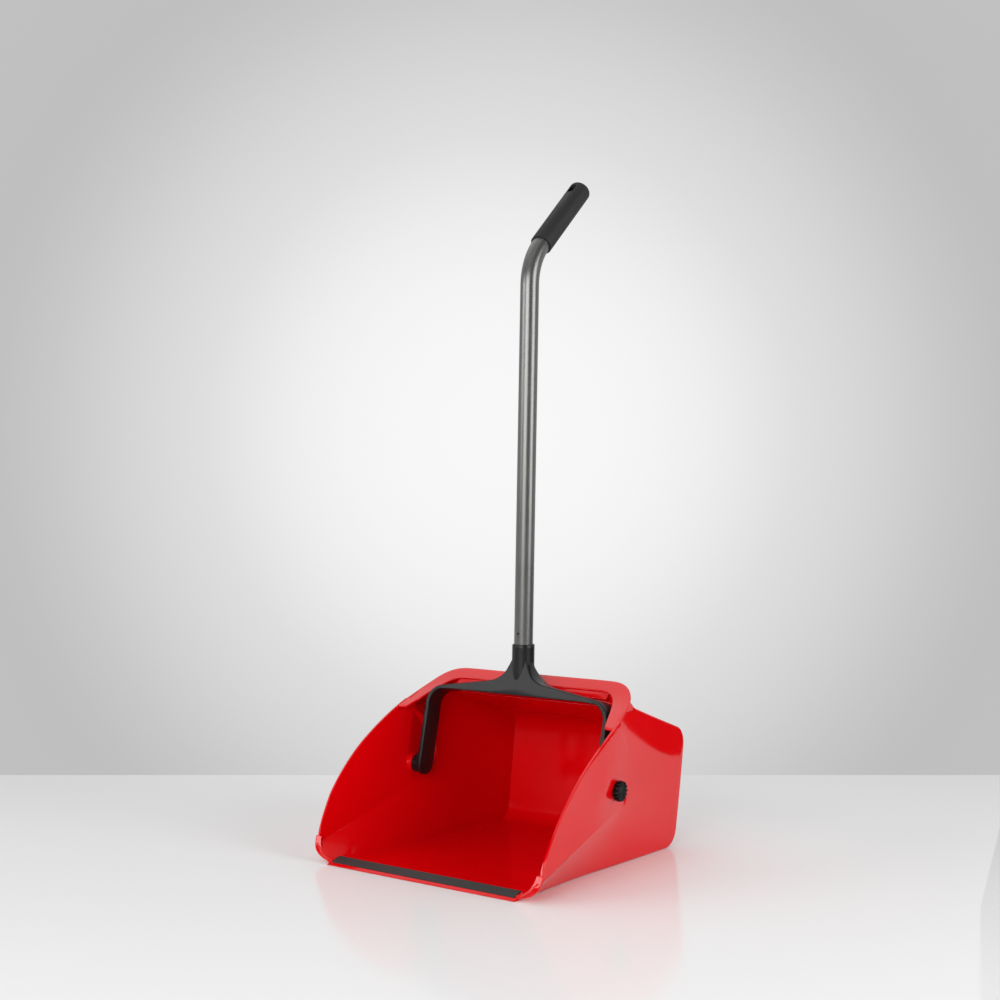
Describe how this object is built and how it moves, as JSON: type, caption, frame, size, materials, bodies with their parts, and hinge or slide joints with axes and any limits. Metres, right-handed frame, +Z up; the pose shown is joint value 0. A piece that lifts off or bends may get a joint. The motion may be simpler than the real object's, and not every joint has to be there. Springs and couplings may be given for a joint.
{
  "type": "long-handled dustpan",
  "caption": "Free-standing lobby dustpan: deep hooded bin with a flared mouth and rubber-edged lip, carried by a swinging yoke on a bent tube handle with a grip.",
  "frame": {"origin": "on the floor at the middle of the footprint", "axes": "+Z up, the mouth faces -Y, +X is the width"},
  "size_m": [0.368, 0.3894, 0.905],
  "materials": {
    "red_plastic": "glossy moulded polypropylene",
    "black_rubber": "matt extruded rubber",
    "black_nylon": "satin moulded nylon",
    "grey_tube": "satin grey paint",
    "grip_rubber": "fine-grained soft grip",
    "zinc_screw": "zinc plated"
  },
  "bodies": {
    "pan": {"pan_shell": "red_plastic", "lip_strip": "black_rubber"},
    "handle": {"yoke": "black_nylon", "pivot_knob_left": "black_nylon", "pivot_knob_right": "black_nylon", "pivot_collar_left": "black_nylon", "pivot_collar_right": "black_nylon", "handle_tube": "grey_tube", "hand_grip": "grip_rubber", "tube_screw": "zinc_screw"}
  },
  "joints": [
    {"name": "handle_pivot", "type": "hinge", "parent": "pan", "child": "handle", "pos_m": [0, -0.00775, 0.1045], "axis": [1, 0, 0], "range_deg": [0, 90]}
  ]
}
